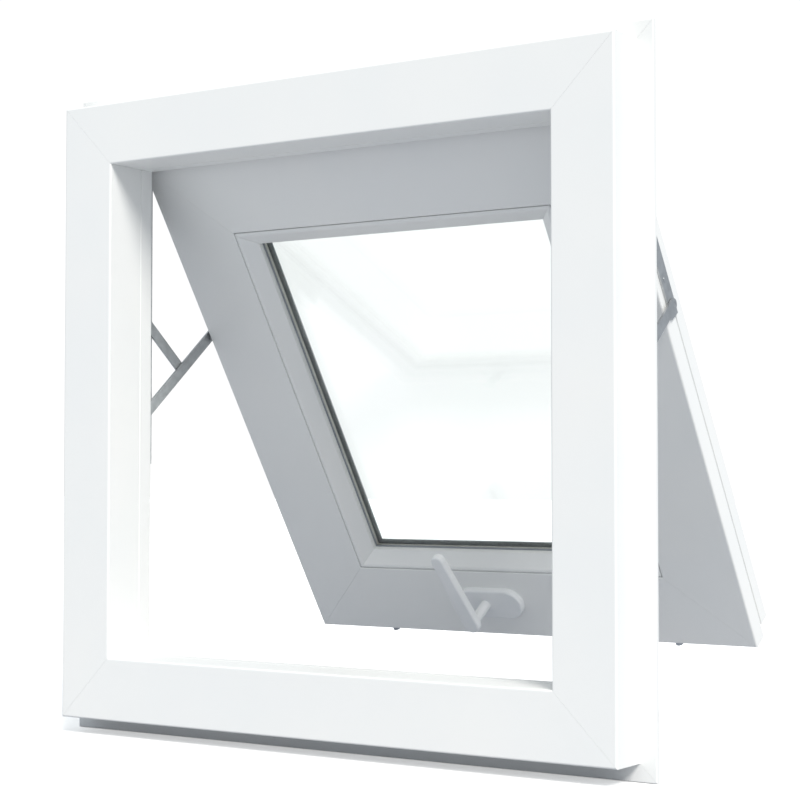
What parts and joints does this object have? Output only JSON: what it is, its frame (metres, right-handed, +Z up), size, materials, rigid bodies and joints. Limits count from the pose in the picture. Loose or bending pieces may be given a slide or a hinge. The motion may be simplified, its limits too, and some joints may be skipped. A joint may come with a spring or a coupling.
{
  "type": "top-hung window",
  "caption": "White plastic top-hung window: a hollow mitred frame, a double-glazed sash held open on scissor stays, and a lever handle that drives a sliding lock rod.",
  "frame": {"origin": "middle of the underside of the sill, under the room-side block of the frame", "axes": "+X to the right seen from the room, +Y outdoors, +Z up"},
  "size_m": [0.63, 0.3961, 0.62],
  "materials": {
    "white_pvc": "extruded white window plastic, satin gloss",
    "white_enamel": "white powder coat on die-cast metal",
    "clear_glass": "clear float glass",
    "black_rubber": "matt black weather seal rubber",
    "galvanised_steel": "galvanised rolled steel",
    "stay_steel": "brushed stainless steel strip",
    "zinc_plated_steel": "bright zinc-plated steel",
    "mill_aluminium": "mill-finish extruded aluminium",
    "shoe_nylon": "off-white moulded nylon",
    "packer_plastic": "blue moulded packer plastic"
  },
  "bodies": {
    "handle": {"drive_pinion": "zinc_plated_steel", "handle_lever": "white_enamel", "handle_spindle": "zinc_plated_steel"},
    "frame": {"frame_gasket": "black_rubber", "frame_head": "white_pvc", "frame_head_steel": "galvanised_steel", "frame_jamb_left": "white_pvc", "frame_jamb_left_steel": "galvanised_steel", "frame_jamb_right": "white_pvc", "frame_jamb_right_steel": "galvanised_steel", "frame_sill": "white_pvc", "frame_sill_steel": "galvanised_steel", "keep_screws": "stay_steel", "lock_keeps": "zinc_plated_steel", "stay_track_left": "mill_aluminium", "stay_track_right": "mill_aluminium", "track_screws": "stay_steel"},
    "sash": {"gear_case": "zinc_plated_steel", "glass_inner_pane": "clear_glass", "glass_outer_pane": "clear_glass", "glazing_bead_bottom": "white_pvc", "glazing_bead_left": "white_pvc", "glazing_bead_right": "white_pvc", "glazing_bead_top": "white_pvc", "glazing_edge_seal": "black_rubber", "glazing_gasket_inner": "black_rubber", "glazing_gasket_outer": "black_rubber", "glazing_packers": "packer_plastic", "glazing_spacer": "mill_aluminium", "handle_plate": "white_enamel", "sash_bottom_rail": "white_pvc", "sash_bottom_rail_steel": "galvanised_steel", "sash_stile_left": "white_pvc", "sash_stile_left_steel": "galvanised_steel", "sash_stile_right": "white_pvc", "sash_stile_right_steel": "galvanised_steel", "sash_top_rail": "white_pvc", "sash_top_rail_steel": "galvanised_steel", "stay_bar_left": "stay_steel", "stay_bar_right": "stay_steel", "stay_bar_rivets": "stay_steel", "stay_bar_screws": "stay_steel"},
    "high_shoe_left": {"high_shoe_left": "shoe_nylon"},
    "high_shoe_right": {"high_shoe_right": "shoe_nylon"},
    "lock_rod": {"lock_cams": "zinc_plated_steel", "lock_rod": "zinc_plated_steel"},
    "long_arm_left": {"long_arm_left": "stay_steel", "long_arm_rivets_left": "stay_steel"},
    "long_arm_right": {"long_arm_right": "stay_steel", "long_arm_rivets_right": "stay_steel"},
    "low_shoe_left": {"low_shoe_left": "shoe_nylon"},
    "low_shoe_right": {"low_shoe_right": "shoe_nylon"},
    "short_arm_left": {"short_arm_left": "stay_steel", "short_arm_rivet_left": "stay_steel"},
    "short_arm_right": {"short_arm_right": "stay_steel", "short_arm_rivet_right": "stay_steel"},
    "top_shoes": {"top_shoe_left": "shoe_nylon", "top_shoe_right": "shoe_nylon"}
  },
  "joints": [
    {"name": "sash_hinge", "type": "hinge", "parent": "top_shoes", "child": "sash", "pos_m": [0, 0.06, 0.5445], "axis": [1, 0, 0], "range_deg": [-33, 0]},
    {"name": "top_shoe_slide", "type": "slide", "parent": "frame", "child": "top_shoes", "axis": [0, 0, 1], "range_m": [0, 0.0525]},
    {"name": "handle_turn", "type": "hinge", "parent": "sash", "child": "handle", "pos_m": [-0.03, 0.32954, 0.1019], "axis": [0, -0.8387, -0.5446], "range_deg": [-10, 80]},
    {"name": "lock_slide", "type": "slide", "parent": "sash", "child": "lock_rod", "axis": [1, 0, 0], "range_m": [-0.00176, 0.01398]},
    {"name": "long_arm_pivot_left", "type": "hinge", "parent": "sash", "child": "long_arm_left", "pos_m": [-0.2623, 0.16403, 0.38431], "axis": [1, 0, 0], "range_deg": [0, 82.91]},
    {"name": "short_arm_pivot_left", "type": "hinge", "parent": "long_arm_left", "child": "short_arm_left", "pos_m": [-0.2646, 0.11201, 0.34051], "axis": [1, 0, 0], "range_deg": [-99.81, 0]},
    {"name": "high_shoe_pivot_left", "type": "hinge", "parent": "short_arm_left", "child": "high_shoe_left", "pos_m": [-0.267, 0.06, 0.38431], "axis": [1, 0, 0], "range_deg": [0, 49.91]},
    {"name": "low_shoe_pivot_left", "type": "hinge", "parent": "long_arm_left", "child": "low_shoe_left", "pos_m": [-0.267, 0.06, 0.29671], "axis": [1, 0, 0], "range_deg": [-49.91, 0]},
    {"name": "long_arm_pivot_right", "type": "hinge", "parent": "sash", "child": "long_arm_right", "pos_m": [0.2623, 0.16403, 0.38431], "axis": [1, 0, 0], "range_deg": [0, 82.91]},
    {"name": "short_arm_pivot_right", "type": "hinge", "parent": "long_arm_right", "child": "short_arm_right", "pos_m": [0.2646, 0.11201, 0.34051], "axis": [1, 0, 0], "range_deg": [-99.81, 0]},
    {"name": "high_shoe_pivot_right", "type": "hinge", "parent": "short_arm_right", "child": "high_shoe_right", "pos_m": [0.267, 0.06, 0.38431], "axis": [1, 0, 0], "range_deg": [0, 49.91]},
    {"name": "low_shoe_pivot_right", "type": "hinge", "parent": "long_arm_right", "child": "low_shoe_right", "pos_m": [0.267, 0.06, 0.29671], "axis": [1, 0, 0], "range_deg": [-49.91, 0]}
  ],
  "couplings": [
    {"joint": "top_shoe_slide", "follows": "sash_hinge", "m_per_rad": -0.091152},
    {"joint": "lock_slide", "follows": "handle_turn", "m_per_rad": 0.01},
    {"joint": "long_arm_pivot_left", "follows": "sash_hinge", "ratio": -2.5121},
    {"joint": "short_arm_pivot_left", "follows": "sash_hinge", "ratio": 3.0241},
    {"joint": "high_shoe_pivot_left", "follows": "sash_hinge", "ratio": -1.5121},
    {"joint": "low_shoe_pivot_left", "follows": "sash_hinge", "ratio": 1.5121},
    {"joint": "long_arm_pivot_right", "follows": "sash_hinge", "ratio": -2.5121},
    {"joint": "short_arm_pivot_right", "follows": "sash_hinge", "ratio": 3.0241},
    {"joint": "high_shoe_pivot_right", "follows": "sash_hinge", "ratio": -1.5121},
    {"joint": "low_shoe_pivot_right", "follows": "sash_hinge", "ratio": 1.5121}
  ]
}
